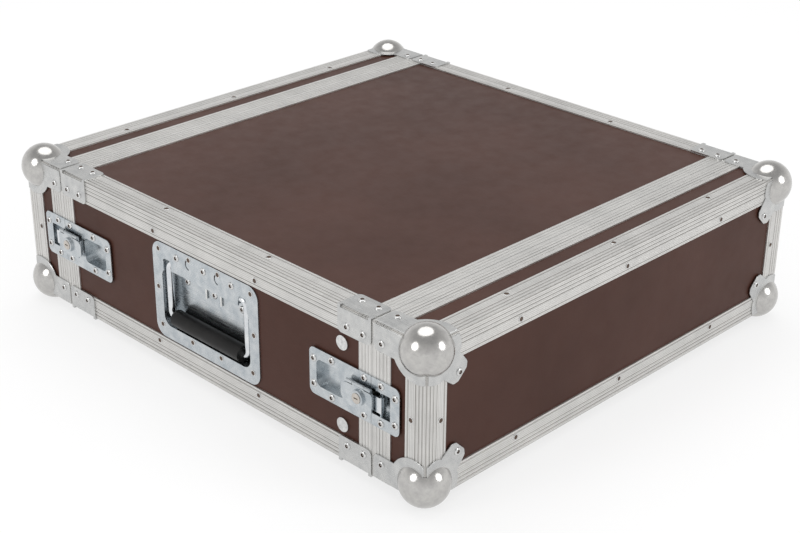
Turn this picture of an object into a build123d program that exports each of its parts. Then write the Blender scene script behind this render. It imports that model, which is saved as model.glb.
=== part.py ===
"""A three unit rack case: a plywood body with a lift-off lid at each end, all edges bound in aluminium."""
import os

from build123d import *

# What the case carries: the rack standard sets its height and width
rack_units = 3
rack_unit = 44.45
rack_height_play = 3.65
rack_opening = 450.0
rack_hole_pitch = 465.1
rack_hole_radius = 3.0
rack_hole_heights = (6.35, 22.225, 38.1)

# Walls
ply = 7.0
skin = 1.5
wall = ply + skin
panel_rim_play = 0.1

# Rack rail
rail_face_width = 31.5
rail_side_width = 32.0
rail_thickness = 2.0
rail_setback = 20.0
rail_end_play = 1.0
rail_bolt_radius = 3.0
rail_bolt_clearance = 0.1
rail_bolt_setback = 17.0
rail_bolt_edge = 36.0
bolt_head_radius = 7.0
bolt_head_height = 1.9
nut_width = 10.0
nut_height = 4.0
nut_play = 0.05

# Overall size over the aluminium
body_depth = 452.0
lid_depth = 64.0
case_width = rack_opening + 2 * rail_face_width + 2 * wall
case_height = rack_units * rack_unit + rack_height_play + 2 * wall
case_depth = body_depth + 2 * lid_depth

# Aluminium edge angle
angle_leg = 24.5
angle_ridge_radius = 1.2
angle_groove = 0.6
angle_groove_places = (4.5, 8.5, 12.5, 21.5)
butt_gap = 0.2

# Closing frames, one on the lid and one on the body, that meet at the joint
joint_gap = 0.4
lid_frame_leg = 22.0
body_frame_leg = 16.2
frame_inner_leg = 14.0
frame_inner_skin = 1.5
lid_frame_web = 5.0
body_frame_web = 2.0
tongue_width = 2.6
tongue_length = 2.8
tongue_inset = 3.3
tongue_play = 0.3
frame_groove_depth = 0.3
frame_groove_width = 0.7
lid_groove_places = (5.0, 9.0, 13.0, 17.0)
body_groove_places = (4.0, 8.0, 12.0)
mitre_kerf = 0.3
kerf_reach = 40.0

# Ball corners
ball_radius = 23.5
ball_inset = 13.0
ball_collar = 27.0
plate_thickness = 1.2
ridge_slit = 3.0
corner_leg_margin = 2.5
corner_leg_width = 26.0
corner_leg_round = 6.0
lobe_centre = 36.5
lobe_spread = 5.5
lobe_round = 6.5
lobe_root = 18.0
lobe_root_radius = 12.0

# Bent brackets where the body's edges meet its closing frames
bracket_length = 41.0
bracket_width = 26.5
bracket_round = 5.0
bracket_end_bridge = 3.5

# Small fasteners, drawn eight sided
rivet_radius = 3.8
rivet_height = 1.3
rivet_sides = 8
screw_radius = 3.2
screw_height = 0.5
edge_rivet_inset = 17.5
lid_rivet_pitch = 149.0
body_rivet_pitch = 150.0
bracket_rivet_places = (10.0, 30.0)
corner_rivet_margin = 10.0
corner_rivet_diagonal = 38.0

# Butterfly latch, measured from the joint between lid and body
latch_plate_height = 47.0
latch_lid_reach = 34.0
latch_body_reach = 78.0
latch_plate_round = 6.0
latch_pocket_start = 33.0
latch_pocket_length = 36.0
latch_pocket_height = 27.0
latch_pocket_depth = 6.6
latch_pocket_round = 6.0
latch_pocket_lip = 1.2
latch_cutout_play = 0.4
latch_rivet_rows = ((72.5, 12.7), (49.2, 18.5), (8.7, 18.4))
keeper_rivet_rows = ((12.0, 18.3), (28.8, 12.9))
keeper_window_length = 23.0
keeper_window_height = 24.0
keeper_floor_depth = 4.8
keeper_bar_radius = 1.5
keeper_bar_place = 9.0
keeper_bar_drop = 1.0
spindle_place = 11.2
spindle_radius = 4.0
spindle_play = 0.05
spindle_tail = 3.0
hook_lift = 0.3
hook_thickness = 1.2
hook_height = 15.0
hook_slot_play = 0.4
hook_travel = 8.0
hook_reach = 14.0
hook_tail = 16.5
claw_thickness = 1.5
claw_gap = 0.3
turner_lift = 0.4
turner_thickness = 1.2
turner_length = 30.0
turner_height = 18.0
flap_lift = 0.4
flap_thickness = 1.4
flap_length = 33.0
flap_height = 23.0
flap_round = 3.0
flap_tab_reach = 5.0
flap_tab_round = 9.0
knuckle_radius = 1.7
knuckle_pin_radius = 0.8
knuckle_pin_play = 0.05
knuckle_length = 14.0
knuckle_gap = 0.3
lock_radius = 7.5
lock_height = 2.2
plug_radius = 5.0
plug_play = 0.05
plug_rise = 0.5
keyway_length = 5.0
keyway_width = 1.2
keyway_depth = 1.5

# Sprung handle, measured from its own centre
handle_plate_width = 155.5
handle_plate_height = 102.5
handle_plate_round = 13.0
handle_flange = skin
handle_window_width = 129.0
handle_window_bottom = 37.0
handle_window_top = 25.0
handle_pocket_top = 38.0
handle_pocket_depth = 13.4
handle_pocket_round = 10.0
handle_pocket_draft = 8.0
handle_metal = 1.2
handle_cutout_play = 0.4
bail_radius = 3.5
bail_window_gap = 3.5
bail_depth = 4.3
bail_pivot_height = 31.0
bail_grip_height = 27.0
bail_bend = 7.0
bail_pin_overhang = 1.0
bail_slot_play = 0.8
bail_pin_play = 0.06
ear_slot_gap = 1.7
ear_width = 7.0
ear_margin = 2.0
grip_radius = 8.5
grip_end_gap = 0.5
grip_bore_play = 0.05
foot_side_gap = 14.5
foot_bottom = 3.0
foot_top = 24.0
foot_thickness = 1.0
spring_radius = 1.0
spring_half_width = 11.0
spring_bottom = 6.0
spring_bend_height = 20.0
spring_bend = 4.0
spring_seat_gap = 0.2
handle_screws = ((68.0, 43.5), (21.5, 46.5), (71.0, 2.0), (68.0, -38.5), (21.5, -41.5))
handle_dome_pitch = 40.6
handle_band_domes = 42.0
handle_foot_domes = 13.0
stop_slot_offset = 5.5
stop_slot_radius = 5.0
stop_slot_width = 1.4
stop_slot_from = -80.0
stop_slot_sweep = 120.0

# Heights and places that follow from the sizes above
base_height = ball_radius - ball_inset
top_height = base_height + case_height
middle_height = base_height + case_height / 2
half_width = case_width / 2
half_depth = case_depth / 2
body_start = lid_depth + joint_gap / 2
body_end = case_depth - body_start
lid_end = lid_depth - joint_gap / 2
ply_start = body_start + body_frame_web
frame_depth = wall + frame_inner_skin
rail_start = lid_depth + rail_setback
angle_start = lid_depth + body_frame_leg + butt_gap
corner_leg_reach = lid_depth - corner_leg_margin
corner_rivet_reach = corner_leg_reach - corner_rivet_margin
bail_half_width = handle_window_width / 2 - bail_window_gap - bail_radius
slot_inner = bail_half_width - bail_bend - bail_slot_play
slot_outer = bail_half_width + bail_radius + bail_slot_play
ear_start = slot_inner - ear_slot_gap - ear_width
bail_pin_end = ear_start - bail_pin_overhang
grip_half_length = bail_half_width - bail_bend - grip_end_gap
foot_half_width = handle_window_width / 2 - foot_side_gap
latch_top_of_plate = plate_thickness
hook_bottom = latch_top_of_plate + hook_lift
hook_top = hook_bottom + hook_thickness
turner_bottom = hook_top + turner_lift
turner_top = turner_bottom + turner_thickness
flap_bottom = turner_top + flap_lift
flap_top = flap_bottom + flap_thickness
knuckle_height = flap_height / 2
pocket_height = handle_window_bottom + handle_pocket_top
pocket_middle = (handle_pocket_top - handle_window_bottom) / 2

# Working planes: each has its origin on the front left bottom corner, and depth runs into the case
left_face = Plane(origin=(-half_width, -half_depth, base_height), x_dir=(0, 1, 0), z_dir=(1, 0, 0))
front_face = Plane(origin=(-half_width, -half_depth, base_height), x_dir=(1, 0, 0), z_dir=(0, -1, 0))
bottom_face = Plane(origin=(-half_width, -half_depth, base_height), x_dir=(1, 0, 0), z_dir=(0, 0, 1))
latch_face = Plane(origin=(-half_width, lid_depth - half_depth, middle_height), x_dir=(0, 1, 0), z_dir=(1, 0, 0))
handle_face = Plane(origin=(-half_width, 0, middle_height), x_dir=(0, 1, 0), z_dir=(1, 0, 0))
left_to_right = Plane.YZ
front_to_rear = Plane.XZ
bottom_to_top = Plane.XY.offset(middle_height)

os.makedirs("parts", exist_ok=True)


def block(plane, u_from, u_to, v_from, v_to, amount, mode=Mode.ADD, corner=0.0):
    """Extrude a rectangle, given by its edges on a plane, with its corners rounded if asked."""
    with BuildSketch(plane) as outline:
        with Locations(((u_from + u_to) / 2, (v_from + v_to) / 2)):
            if corner > 0:
                RectangleRounded(u_to - u_from, v_to - v_from, corner)
            else:
                Rectangle(u_to - u_from, v_to - v_from)
    extrude(outline.sketch, amount=amount, mode=mode)


def rod(plane, places, radius, amount, mode=Mode.ADD):
    """Extrude round rods, or cut round holes, at places on a plane."""
    with BuildSketch(plane) as outline:
        with Locations(*places):
            Circle(radius)
    extrude(outline.sketch, amount=amount, mode=mode)


def heads(plane, places, radius, amount):
    """Seat small fastener heads on a plane."""
    with BuildSketch(plane) as outline:
        with Locations(*places):
            RegularPolygon(radius, rivet_sides)
    extrude(outline.sketch, amount=amount)


def both_ways(places):
    """Repeat places above and below the middle line."""
    return [(u, sign * v) for u, v in places for sign in (-1, 1)]


def either_side(places):
    """Repeat places left and right of the middle line."""
    return [(sign * u, v) for u, v in places for sign in (-1, 1)]


def angle_length(plane, length):
    """One grooved length of edge angle: its ridge runs from the plane's origin, its legs along u and v."""
    with BuildSketch(plane) as section:
        Rectangle(angle_leg, skin, align=(Align.MIN, Align.MIN))
        Rectangle(skin, angle_leg, align=(Align.MIN, Align.MIN))
        fillet(section.vertices().sort_by_distance((0, 0, 0))[0], angle_ridge_radius)
        grooves = [(place, 0) for place in angle_groove_places] + [(0, place) for place in angle_groove_places]
        with Locations(*grooves):
            Rectangle(angle_groove, angle_groove, rotation=45, mode=Mode.SUBTRACT)
    extrude(section.sketch, amount=length)


def frame_layer(y_from, y_to, depth_from, depth_to, mode=Mode.ADD):
    """One rectangular layer of a closing frame, all round the case, between two depths."""
    with BuildSketch(front_face.offset(-y_from)) as layer:
        with Locations((half_width, case_height / 2)):
            Rectangle(case_width - 2 * depth_from, case_height - 2 * depth_from)
            Rectangle(case_width - 2 * depth_to, case_height - 2 * depth_to, mode=Mode.SUBTRACT)
    extrude(layer.sketch, amount=y_from - y_to, mode=mode)


def cut_mitres(y_from, y_to):
    """Part a closing frame into its four lengths with a saw cut at each corner."""
    with BuildSketch(front_face.offset(-y_from)) as kerfs:
        with Locations((0, 0), (case_width, case_height)):
            Rectangle(mitre_kerf, kerf_reach, rotation=-45)
        with Locations((case_width, 0), (0, case_height)):
            Rectangle(mitre_kerf, kerf_reach, rotation=45)
    extrude(kerfs.sketch, amount=y_from - y_to, mode=Mode.SUBTRACT)


def cut_latch_opening(u_from, u_to):
    """Clear the wall behind a latch plate, on the left and on the right, as deep as the plywood."""
    half_height = latch_pocket_height / 2 + latch_pocket_lip + latch_cutout_play
    for face in (latch_face, latch_face.offset(case_width - wall)):
        block(face, u_from, u_to, -half_height, half_height, wall, Mode.SUBTRACT)


def copy_of(piece, plane, name):
    """Write the mirror image of a finished piece."""
    with BuildPart() as copy:
        mirror(piece.part, about=plane)
    copy.part.label = name
    export_step(copy.part, f"parts/{name}.step")
    return copy


# Top panel: full thickness where it shows, with a hair of play under the edging and its brackets
rim_width = max(angle_leg, bracket_width - plate_thickness) + butt_gap
panel_underside = bottom_face.offset(case_height - wall)
with BuildPart() as top_panel:
    block(panel_underside, skin, case_width - skin, ply_start, case_depth - ply_start, ply - panel_rim_play)
    block(panel_underside, rim_width, case_width - rim_width, angle_start, case_depth - angle_start, ply)
top_panel.part.label = "top_panel"
export_step(top_panel.part, "parts/top_panel.step")

# Bottom panel
bottom_panel = copy_of(top_panel, bottom_to_top, "bottom_panel")

# Left side panel, cut out for the handle, both latches and the rail bolts
pocket_span = handle_window_width / 2 + handle_metal + handle_cutout_play
latch_span = latch_pocket_start + latch_pocket_length + latch_pocket_lip + latch_cutout_play
latch_half_span = latch_pocket_height / 2 + latch_pocket_lip + latch_cutout_play
rail_bolt_place = rail_start + rail_bolt_setback
rail_bolt_places = [(rail_bolt_place, rail_bolt_edge), (rail_bolt_place, case_height - rail_bolt_edge)]
with BuildPart() as left_panel:
    block(left_face.offset(skin), ply_start, case_depth - ply_start, wall, case_height - wall, ply)
    block(
        handle_face,
        -pocket_span,
        pocket_span,
        -handle_window_bottom - handle_metal - handle_cutout_play,
        handle_pocket_top + handle_metal + handle_cutout_play,
        wall,
        Mode.SUBTRACT,
        handle_pocket_round,
    )
    block(latch_face, 0, latch_span, -latch_half_span, latch_half_span, wall, Mode.SUBTRACT)
    block(
        latch_face,
        body_depth - latch_span,
        body_depth,
        -latch_half_span,
        latch_half_span,
        wall,
        Mode.SUBTRACT,
    )
    rod(left_face, rail_bolt_places, rail_bolt_radius + rail_bolt_clearance, wall, Mode.SUBTRACT)
left_panel.part.label = "left_panel"
export_step(left_panel.part, "parts/left_panel.step")

# Right side panel
right_panel = copy_of(left_panel, left_to_right, "right_panel")

# Long edge angles of the body, between its two closing frames
with BuildPart() as body_edge_angles:
    angle_length(
        Plane(origin=(-half_width, angle_start - half_depth, top_height), x_dir=(1, 0, 0), z_dir=(0, 1, 0)),
        case_depth - 2 * angle_start,
    )
    mirror(about=left_to_right)
    mirror(about=bottom_to_top)
body_edge_angles.part.label = "body_edge_angles"
export_step(body_edge_angles.part, "parts/body_edge_angles.step")

# Front closing frame of the body, with the tongue that locates the lid
with BuildPart() as front_body_frame:
    frame_layer(body_start, lid_depth + body_frame_leg, 0, skin)
    frame_layer(body_start, ply_start, 0, frame_depth)
    frame_layer(body_start, body_start + frame_inner_leg, wall, frame_depth)
    frame_layer(body_start - tongue_length, body_start, tongue_inset, tongue_inset + tongue_width)
    for place in body_groove_places:
        groove_start = lid_depth + place
        frame_layer(groove_start, groove_start + frame_groove_width, 0, frame_groove_depth, Mode.SUBTRACT)
    cut_mitres(body_start - tongue_length, lid_depth + body_frame_leg)
    cut_latch_opening(-tongue_length, body_frame_leg + butt_gap)
front_body_frame.part.label = "front_body_frame"
export_step(front_body_frame.part, "parts/front_body_frame.step")

# Rear closing frame of the body
rear_body_frame = copy_of(front_body_frame, front_to_rear, "rear_body_frame")

# Bent corner brackets of the body, slit along the bend
bracket_end = body_start + bracket_length
with BuildPart() as corner_brackets:
    with BuildSketch(left_face.offset(-plate_thickness)) as side_leaf:
        with Locations((body_start, -plate_thickness)):
            Rectangle(bracket_length, bracket_width, align=(Align.MIN, Align.MIN))
        fillet(side_leaf.vertices().group_by(Axis.Y)[-1], bracket_round)
    extrude(side_leaf.sketch, amount=plate_thickness)
    with BuildSketch(bottom_face.offset(-plate_thickness)) as bottom_leaf:
        with Locations((-plate_thickness, body_start)):
            Rectangle(bracket_width, bracket_length, align=(Align.MIN, Align.MIN))
        fillet(bottom_leaf.vertices().group_by(Axis.X)[-1], bracket_round)
    extrude(bottom_leaf.sketch, amount=plate_thickness)
    block(
        bottom_face.offset(-2 * plate_thickness),
        -2 * plate_thickness,
        ridge_slit / 2,
        body_start + bracket_end_bridge,
        bracket_end - bracket_end_bridge,
        2 * plate_thickness + ridge_slit / 2,
        Mode.SUBTRACT,
    )
    mirror(about=left_to_right)
    mirror(about=bottom_to_top)
    mirror(about=front_to_rear)
corner_brackets.part.label = "corner_brackets"
export_step(corner_brackets.part, "parts/corner_brackets.step")

# Left rack rail, an angle with its holes in the leg that faces the front
rail_height = case_height - 2 * wall - 2 * rail_end_play
rail_bottom = wall + rail_end_play
first_unit = case_height / 2 - rack_units * rack_unit / 2
rack_hole_places = [
    ((case_width - rack_hole_pitch) / 2, first_unit + unit * rack_unit + height)
    for unit in range(rack_units)
    for height in rack_hole_heights
]
with BuildPart() as left_rack_rail:
    block(left_face.offset(wall), rail_start, rail_start + rail_side_width, rail_bottom,
          rail_bottom + rail_height, rail_thickness)
    block(front_face.offset(-rail_start), wall, wall + rail_face_width, rail_bottom,
          rail_bottom + rail_height, -rail_thickness)
    rod(front_face.offset(-rail_start), rack_hole_places, rack_hole_radius, -rail_thickness, Mode.SUBTRACT)
    rod(left_face.offset(wall), rail_bolt_places, rail_bolt_radius + rail_bolt_clearance, rail_thickness,
        Mode.SUBTRACT)
left_rack_rail.part.label = "left_rack_rail"
export_step(left_rack_rail.part, "parts/left_rack_rail.step")

# Right rack rail
right_rack_rail = copy_of(left_rack_rail, left_to_right, "right_rack_rail")

# Flat headed bolts that hold the rails through the side panels
with BuildPart() as rail_bolts:
    rod(left_face.offset(skin - bolt_head_height), rail_bolt_places, bolt_head_radius, bolt_head_height)
    rod(left_face.offset(skin), rail_bolt_places, rail_bolt_radius, ply + rail_thickness + nut_height)
    mirror(about=left_to_right)
rail_bolts.part.label = "rail_bolts"
export_step(rail_bolts.part, "parts/rail_bolts.step")

# Nuts of the rail bolts
with BuildPart() as rail_nuts:
    with BuildSketch(left_face.offset(wall + rail_thickness)) as nut_outline:
        with Locations(*rail_bolt_places):
            RegularPolygon(nut_width / 2, 6, major_radius=False)
            Circle(rail_bolt_radius + nut_play, mode=Mode.SUBTRACT)
    extrude(nut_outline.sketch, amount=nut_height)
    mirror(about=left_to_right)
rail_nuts.part.label = "rail_nuts"
export_step(rail_nuts.part, "parts/rail_nuts.step")

# Dish of the left handle: a flanged tray with a band across its top that hides the pivots
pin_axis = bail_pivot_height
slot_top = pin_axis + bail_radius + bail_slot_play
with BuildPart() as left_handle_dish:
    with BuildSketch(handle_face.offset(skin)) as tray_outline:
        with Locations((0, pocket_middle)):
            RectangleRounded(
                handle_window_width + 2 * handle_metal,
                pocket_height + 2 * handle_metal,
                handle_pocket_round + handle_metal,
            )
    extrude(tray_outline.sketch, amount=handle_pocket_depth + handle_metal - skin, taper=handle_pocket_draft)
    block(handle_face.offset(skin - handle_flange), -handle_plate_width / 2, handle_plate_width / 2,
          -handle_plate_height / 2, handle_plate_height / 2, handle_flange, corner=handle_plate_round)
    with BuildSketch(handle_face.offset(skin)) as hollow_outline:
        with Locations((0, pocket_middle)):
            RectangleRounded(handle_window_width, pocket_height, handle_pocket_round)
    extrude(hollow_outline.sketch, amount=handle_pocket_depth - skin, taper=handle_pocket_draft,
            mode=Mode.SUBTRACT)
    for side in (-1, 1):
        ear_near = ear_start if side > 0 else -ear_start - ear_width
        block(handle_face.offset(skin), ear_near, ear_near + ear_width, pin_axis - bail_radius - ear_margin,
              handle_pocket_top + handle_metal / 2, bail_depth + bail_radius + ear_margin - skin)
    block(handle_face.offset(handle_pocket_depth - foot_thickness), -foot_half_width, foot_half_width,
          foot_bottom, foot_top, foot_thickness + handle_metal / 2, corner=handle_metal)
    with BuildSketch(handle_face.offset(skin - handle_flange)) as window_outline:
        with Locations((0, (handle_window_top - handle_window_bottom) / 2)):
            RectangleRounded(handle_window_width, handle_window_top + handle_window_bottom,
                             handle_pocket_round)
        for side in (-1, 1):
            with Locations((side * (slot_inner + slot_outer) / 2, slot_top / 2)):
                RectangleRounded(slot_outer - slot_inner, slot_top, bail_radius)
    extrude(window_outline.sketch, amount=handle_flange, mode=Mode.SUBTRACT)
    for place in (-1, 1):
        screw_u, screw_v = handle_screws[1]
        with BuildSketch(handle_face.offset(skin - handle_flange)) as stop_slot:
            with BuildLine():
                slot_line = CenterArc((place * screw_u, screw_v - stop_slot_offset), stop_slot_radius,
                                      stop_slot_from, stop_slot_sweep)
            SlotArc(slot_line, stop_slot_width)
        extrude(stop_slot.sketch, amount=handle_flange, mode=Mode.SUBTRACT)
    with BuildSketch(Plane.XZ.offset(-ear_start - 2 * ear_width)) as pin_bore:
        with Locations((bail_depth - half_width, middle_height + pin_axis)):
            Circle(bail_radius + bail_pin_play)
    extrude(pin_bore.sketch, amount=2 * (ear_start + 2 * ear_width), mode=Mode.SUBTRACT)
left_handle_dish.part.label = "left_handle_dish"
export_step(left_handle_dish.part, "parts/left_handle_dish.step")

# Wire bail of the left handle, its ends turned inwards as pivot pins
with BuildPart() as left_handle_bail:
    with BuildLine(handle_face.offset(bail_depth)) as bail_line:
        FilletPolyline(
            (-bail_pin_end, bail_pivot_height),
            (-bail_half_width, bail_pivot_height),
            (-bail_half_width, -bail_grip_height),
            (bail_half_width, -bail_grip_height),
            (bail_half_width, bail_pivot_height),
            (bail_pin_end, bail_pivot_height),
            radius=bail_bend,
        )
    with BuildSketch(Plane(origin=bail_line.line @ 0, z_dir=bail_line.line % 0)):
        Circle(bail_radius)
    sweep(path=bail_line.line)
left_handle_bail.part.label = "left_handle_bail"
export_step(left_handle_bail.part, "parts/left_handle_bail.step")

# Plastic tube grip on the bail
with BuildPart() as left_handle_grip:
    grip_plane = Plane(
        origin=(bail_depth - half_width, -grip_half_length, middle_height - bail_grip_height),
        z_dir=(0, 1, 0),
    )
    with BuildSketch(grip_plane) as grip_ring:
        Circle(grip_radius)
        Circle(bail_radius + grip_bore_play, mode=Mode.SUBTRACT)
    extrude(grip_ring.sketch, amount=2 * grip_half_length)
left_handle_grip.part.label = "left_handle_grip"
export_step(left_handle_grip.part, "parts/left_handle_grip.step")

# Wire spring behind the band: two tails press on the tray, joined by a cross wire
tail_depth = handle_pocket_depth - foot_thickness - spring_seat_gap - spring_radius
cross_depth = skin + spring_seat_gap + spring_radius
with BuildPart() as left_handle_spring:
    tail_plane = Plane(origin=(-half_width, -spring_half_width, middle_height), x_dir=(1, 0, 0), z_dir=(0, -1, 0))
    with BuildLine(tail_plane) as tail_line:
        FilletPolyline(
            (tail_depth, spring_bottom),
            (tail_depth, spring_bend_height),
            (cross_depth, bail_pivot_height),
            radius=spring_bend,
        )
    with BuildSketch(Plane(origin=tail_line.line @ 0, z_dir=tail_line.line % 0)):
        Circle(spring_radius)
    sweep(path=tail_line.line)
    mirror(about=front_to_rear)
    with Locations((cross_depth - half_width, 0, middle_height + bail_pivot_height)):
        Cylinder(spring_radius, 2 * spring_half_width, rotation=(90, 0, 0))
left_handle_spring.part.label = "left_handle_spring"
export_step(left_handle_spring.part, "parts/left_handle_spring.step")

# The same handle on the right
for handle_piece in (left_handle_dish, left_handle_bail, left_handle_grip, left_handle_spring):
    copy_of(handle_piece, left_to_right, handle_piece.part.label.replace("left", "right"))

# Dish of the front left latch: a plate on the body with a finger pocket pressed into it
pocket_end = latch_pocket_start + latch_pocket_length
with BuildPart() as latch_dish:
    block(latch_face, latch_pocket_start - latch_pocket_lip, pocket_end + latch_pocket_lip,
          -latch_pocket_height / 2 - latch_pocket_lip, latch_pocket_height / 2 + latch_pocket_lip,
          latch_pocket_depth + latch_pocket_lip, corner=latch_pocket_round + latch_pocket_lip)
    with BuildSketch(latch_face.offset(-plate_thickness)) as dish_plate:
        with Locations(((latch_body_reach + joint_gap / 2) / 2, 0)):
            Rectangle(latch_body_reach - joint_gap / 2, latch_plate_height)
        fillet(dish_plate.vertices().group_by(Axis.X)[-1], latch_plate_round)
        with Locations((spindle_place, 0)):
            Circle(spindle_radius + spindle_play, mode=Mode.SUBTRACT)
    extrude(dish_plate.sketch, amount=plate_thickness)
    block(latch_face.offset(-plate_thickness), latch_pocket_start, pocket_end, -latch_pocket_height / 2,
          latch_pocket_height / 2, latch_pocket_depth + plate_thickness, Mode.SUBTRACT, latch_pocket_round)
latch_dish.part.label = "front_left_latch_dish"

# Keeper of the latch: a plate on the lid with a tray that is open towards the joint, and a cross bar
keeper_tray_end = -joint_gap / 2
with BuildPart() as latch_keeper:
    block(latch_face, -keeper_window_length - plate_thickness, keeper_tray_end,
          -keeper_window_height / 2 - plate_thickness, keeper_window_height / 2 + plate_thickness,
          keeper_floor_depth + plate_thickness)
    with BuildSketch(latch_face.offset(-plate_thickness)) as keeper_plate:
        with Locations(((-latch_lid_reach - joint_gap / 2) / 2, 0)):
            Rectangle(latch_lid_reach - joint_gap / 2, latch_plate_height)
        fillet(keeper_plate.vertices().group_by(Axis.X)[0], latch_plate_round)
    extrude(keeper_plate.sketch, amount=plate_thickness)
    block(latch_face.offset(-plate_thickness), -keeper_window_length, 0, -keeper_window_height / 2,
          keeper_window_height / 2, keeper_floor_depth + plate_thickness, Mode.SUBTRACT)
    bar_plane = Plane(
        origin=(keeper_bar_drop + keeper_bar_radius - half_width,
                lid_depth - keeper_bar_place - half_depth,
                middle_height - keeper_window_height / 2),
    )
    rod(bar_plane, [(0, 0)], keeper_bar_radius, keeper_window_height)
latch_keeper.part.label = "front_left_latch_keeper"

# Hook of the latch: a slotted strip that slides along the plate, its claw bent down over the bar
claw_tip = keeper_bar_drop - claw_gap
with BuildPart() as latch_hook:
    block(latch_face.offset(-hook_top), -hook_reach, spindle_place + hook_tail, -hook_height / 2,
          hook_height / 2, hook_thickness)
    block(latch_face.offset(-hook_top), -hook_reach, -hook_reach + claw_thickness, -hook_height / 2,
          hook_height / 2, hook_top + claw_tip)
    slot_reach = spindle_radius + hook_slot_play
    block(latch_face.offset(-hook_top), spindle_place - slot_reach, spindle_place + slot_reach + hook_travel,
          -slot_reach, slot_reach, hook_thickness, Mode.SUBTRACT, spindle_radius)
latch_hook.part.label = "front_left_latch_hook"

# Turner of the latch: the spindle, its square plate and the two outer hinge knuckles of the flap
with BuildPart() as latch_turner:
    block(latch_face.offset(-turner_top), spindle_place - turner_length / 2, spindle_place + turner_length / 2,
          -turner_height / 2, turner_height / 2, turner_thickness)
    rod(latch_face.offset(-turner_bottom), [(spindle_place, 0)], spindle_radius, turner_bottom + spindle_tail)
    knuckle_depth = -(flap_bottom + knuckle_radius - flap_thickness)
    knuckle_plane = Plane(
        origin=(knuckle_depth - half_width, lid_depth + spindle_place - half_depth,
                middle_height + knuckle_height),
        x_dir=(1, 0, 0),
        z_dir=(0, 1, 0),
    )
    knuckle_outer = turner_length / 2
    for side in (-1, 1):
        rod(knuckle_plane.offset(side * knuckle_outer), [(0, 0)], knuckle_radius,
            side * (knuckle_length / 2 + knuckle_gap - knuckle_outer))
        web_near = spindle_place + side * (knuckle_length / 2 + knuckle_gap)
        web_far = spindle_place + side * knuckle_outer
        block(latch_face.offset(-turner_top), min(web_near, web_far), max(web_near, web_far),
              turner_height / 2 - turner_thickness, knuckle_height, turner_thickness)
    rod(knuckle_plane.offset(-knuckle_outer), [(0, 0)], knuckle_pin_radius, 2 * knuckle_outer)
latch_turner.part.label = "front_left_latch_turner"

# Flap of the latch: the square cover with a rounded finger tab and the round lock housing
flap_free_top = knuckle_height - knuckle_radius - knuckle_gap
flap_bottom_edge = flap_free_top - flap_height + knuckle_radius
with BuildPart() as latch_flap:
    block(latch_face.offset(-flap_top), spindle_place - flap_length / 2, spindle_place + flap_length / 2,
          flap_bottom_edge, flap_free_top, flap_thickness, corner=flap_round)
    block(latch_face.offset(-flap_top), spindle_place, spindle_place + flap_length / 2 + flap_tab_reach,
          -flap_tab_round, flap_tab_round, flap_thickness, corner=flap_tab_round - flap_round)
    block(latch_face.offset(-flap_top), spindle_place - knuckle_length / 2, spindle_place + knuckle_length / 2,
          flap_free_top - flap_round, knuckle_height, flap_thickness)
    rod(knuckle_plane.offset(-knuckle_length / 2), [(0, 0)], knuckle_radius, knuckle_length)
    rod(knuckle_plane.offset(-knuckle_length / 2), [(0, 0)], knuckle_pin_radius + knuckle_pin_play,
        knuckle_length, Mode.SUBTRACT)
    rod(latch_face.offset(-flap_top - lock_height), [(spindle_place, 0)], lock_radius, lock_height)
    rod(latch_face.offset(-flap_top - lock_height), [(spindle_place, 0)], plug_radius + plug_play, lock_height,
        Mode.SUBTRACT)
latch_flap.part.label = "front_left_latch_flap"

# Key plug of the lock, with its keyway
plug_face = flap_top + lock_height + plug_rise
with BuildPart() as latch_plug:
    rod(latch_face.offset(-plug_face), [(spindle_place, 0)], plug_radius, plug_face - flap_top)
    block(latch_face.offset(-plug_face), spindle_place - keyway_length / 2, spindle_place + keyway_length / 2,
          -keyway_width / 2, keyway_width / 2, keyway_depth, Mode.SUBTRACT)
latch_plug.part.label = "front_left_latch_plug"

# The same latch at all four places
for latch_piece in (latch_dish, latch_keeper, latch_hook, latch_turner, latch_flap, latch_plug):
    first_name = latch_piece.part.label
    export_step(latch_piece.part, f"parts/{first_name}.step")
    rear_piece = copy_of(latch_piece, front_to_rear, first_name.replace("front", "rear"))
    copy_of(latch_piece, left_to_right, first_name.replace("left", "right"))
    copy_of(rear_piece, left_to_right, first_name.replace("front_left", "rear_right"))

# Face panel of the front lid
with BuildPart() as front_lid_panel:
    block(front_face.offset(-wall), skin, case_width - skin, skin, case_height - skin, ply)
front_lid_panel.part.label = "front_lid_panel"
export_step(front_lid_panel.part, "parts/front_lid_panel.step")

# Four plywood walls of the front lid
lid_ply_end = lid_end - lid_frame_web
with BuildPart() as front_lid_walls:
    block(bottom_face.offset(skin), skin, case_width - skin, wall, lid_ply_end, ply)
    mirror(about=bottom_to_top)
    block(left_face.offset(skin), wall, lid_ply_end, wall + butt_gap, case_height - wall - butt_gap, ply)
    block(left_face.offset(case_width - wall), wall, lid_ply_end, wall + butt_gap,
          case_height - wall - butt_gap, ply)
    cut_latch_opening(-latch_lid_reach, 0)
front_lid_walls.part.label = "front_lid_walls"
export_step(front_lid_walls.part, "parts/front_lid_walls.step")

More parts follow.
